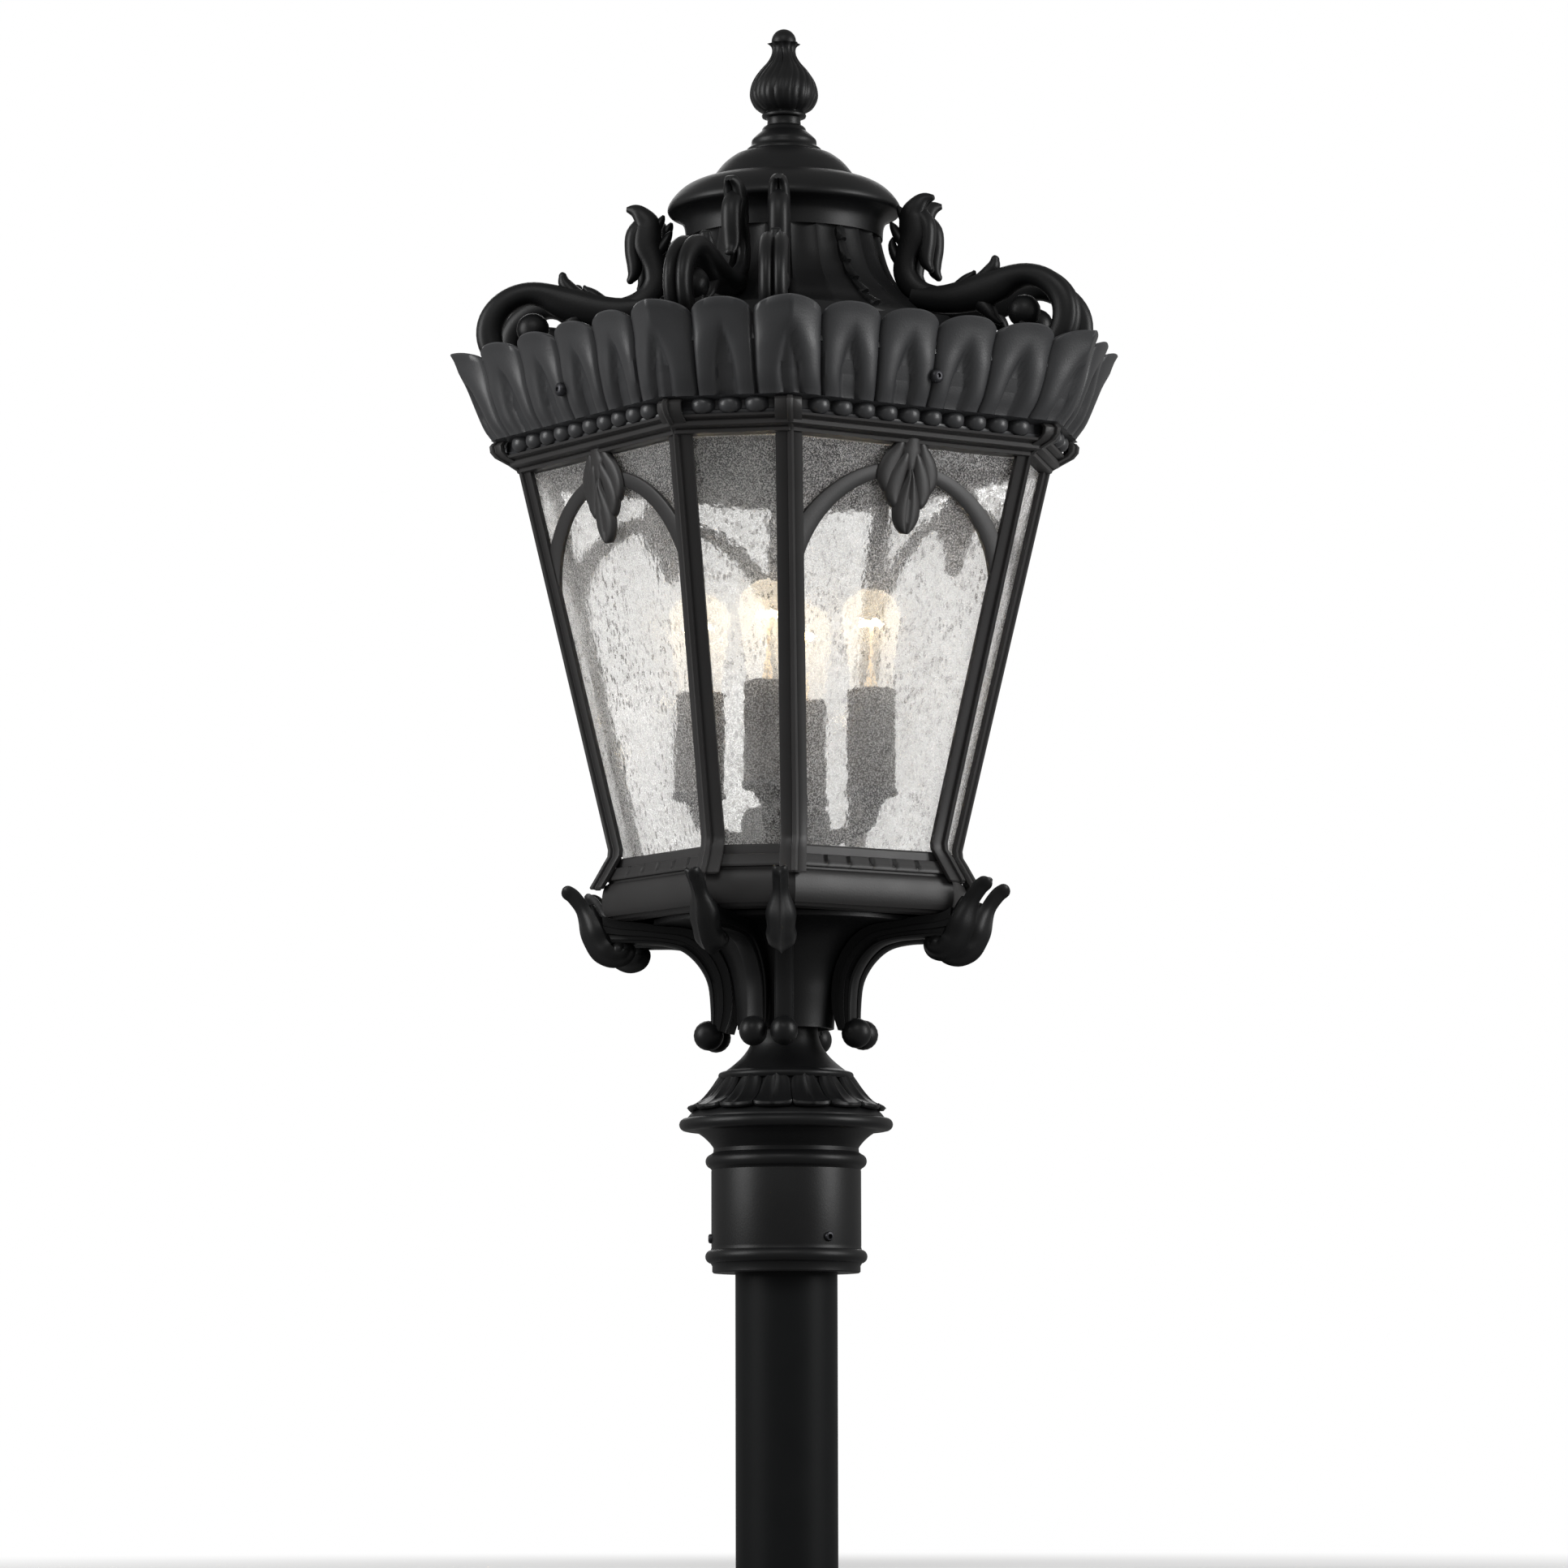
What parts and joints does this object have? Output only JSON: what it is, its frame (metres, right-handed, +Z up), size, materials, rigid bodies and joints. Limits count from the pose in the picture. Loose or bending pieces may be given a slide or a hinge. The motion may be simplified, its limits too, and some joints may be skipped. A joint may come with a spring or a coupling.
{
  "type": "four-light post light",
  "caption": "Octagonal post-top lantern with seeded glass, candle lamps, petal gallery, scroll brackets and finial, on a post stub.",
  "frame": {"origin": "centre of the post's cut lower end", "axes": "+Z up the post; the wide panes face along X and Y, the narrow ones along the diagonals"},
  "size_m": [0.3424, 0.3424, 0.948],
  "materials": {
    "black_castings": "textured satin black paint on cast aluminium",
    "black_steel": "satin black paint on steel tube",
    "bright_steel": "zinc plated",
    "seeded_glass": "clear seeded glass",
    "bulb_glass": "lit clear glass",
    "candle_plastic": "matt, lit from above",
    "socket_plastic": "matt black phenolic"
  },
  "bodies": {
    "base": {"post_tube": "black_steel", "fitter_collar": "black_castings", "neck_casting": "black_castings", "base_trumpet": "black_castings", "base_tray": "black_castings", "cage_frame": "black_castings", "lamp_cluster": "black_castings", "lower_bracket_1": "black_castings", "lower_bracket_2": "black_castings", "lower_bracket_3": "black_castings", "lower_bracket_4": "black_castings", "lower_bracket_5": "black_castings", "lower_bracket_6": "black_castings", "lower_bracket_7": "black_castings", "lower_bracket_8": "black_castings", "arch_trim_1": "black_castings", "glass_wide_1": "seeded_glass", "glass_narrow_1": "seeded_glass", "candle_sleeve_1": "candle_plastic", "lamp_socket_1": "socket_plastic", "arch_trim_2": "black_castings", "glass_wide_2": "seeded_glass", "glass_narrow_2": "seeded_glass", "candle_sleeve_2": "candle_plastic", "lamp_socket_2": "socket_plastic", "arch_trim_3": "black_castings", "glass_wide_3": "seeded_glass", "glass_narrow_3": "seeded_glass", "candle_sleeve_3": "candle_plastic", "lamp_socket_3": "socket_plastic", "arch_trim_4": "black_castings", "glass_wide_4": "seeded_glass", "glass_narrow_4": "seeded_glass", "candle_sleeve_4": "candle_plastic", "lamp_socket_4": "socket_plastic", "center_pipe": "bright_steel", "pipe_nut": "bright_steel", "glass_clips": "bright_steel"},
    "roof": {"roof_chimney": "black_castings", "crown_gallery": "black_castings", "dome_cap": "black_castings", "finial_stud": "bright_steel", "gallery_screws": "black_steel", "roof_scroll_1": "black_castings", "roof_scroll_2": "black_castings", "roof_scroll_3": "black_castings", "roof_scroll_4": "black_castings", "roof_scroll_5": "black_castings", "roof_scroll_6": "black_castings", "roof_scroll_7": "black_castings", "roof_scroll_8": "black_castings"},
    "finial": {"finial": "black_castings"},
    "bulb_1": {"bulb_1": "bulb_glass"},
    "bulb_2": {"bulb_2": "bulb_glass"},
    "bulb_3": {"bulb_3": "bulb_glass"},
    "bulb_4": {"bulb_4": "bulb_glass"},
    "set_screw_1": {"set_screw_1": "black_steel"},
    "set_screw_2": {"set_screw_2": "black_steel"},
    "set_screw_3": {"set_screw_3": "black_steel"}
  },
  "joints": [
    {"name": "roof_lift", "type": "slide", "parent": "base", "child": "roof", "axis": [0, 0, 1], "range_m": [0, 0.15]},
    {"name": "finial_unscrew", "type": "hinge", "parent": "roof", "child": "finial", "pos_m": [0, 0, 0.8872], "axis": [0, 0, 1], "continuous": true},
    {"name": "bulb_1_out", "type": "slide", "parent": "base", "child": "bulb_1", "axis": [0, 0, 1], "range_m": [0, 0.03]},
    {"name": "bulb_2_out", "type": "slide", "parent": "base", "child": "bulb_2", "axis": [0, 0, 1], "range_m": [0, 0.03]},
    {"name": "bulb_3_out", "type": "slide", "parent": "base", "child": "bulb_3", "axis": [0, 0, 1], "range_m": [0, 0.03]},
    {"name": "bulb_4_out", "type": "slide", "parent": "base", "child": "bulb_4", "axis": [0, 0, 1], "range_m": [0, 0.03]},
    {"name": "set_screw_1_out", "type": "slide", "parent": "base", "child": "set_screw_1", "axis": [0, -1, 0], "range_m": [0, 0.01]},
    {"name": "set_screw_2_out", "type": "slide", "parent": "base", "child": "set_screw_2", "axis": [0.866, 0.5, 0], "range_m": [0, 0.01]},
    {"name": "set_screw_3_out", "type": "slide", "parent": "base", "child": "set_screw_3", "axis": [-0.866, 0.5, 0], "range_m": [0, 0.01]}
  ]
}
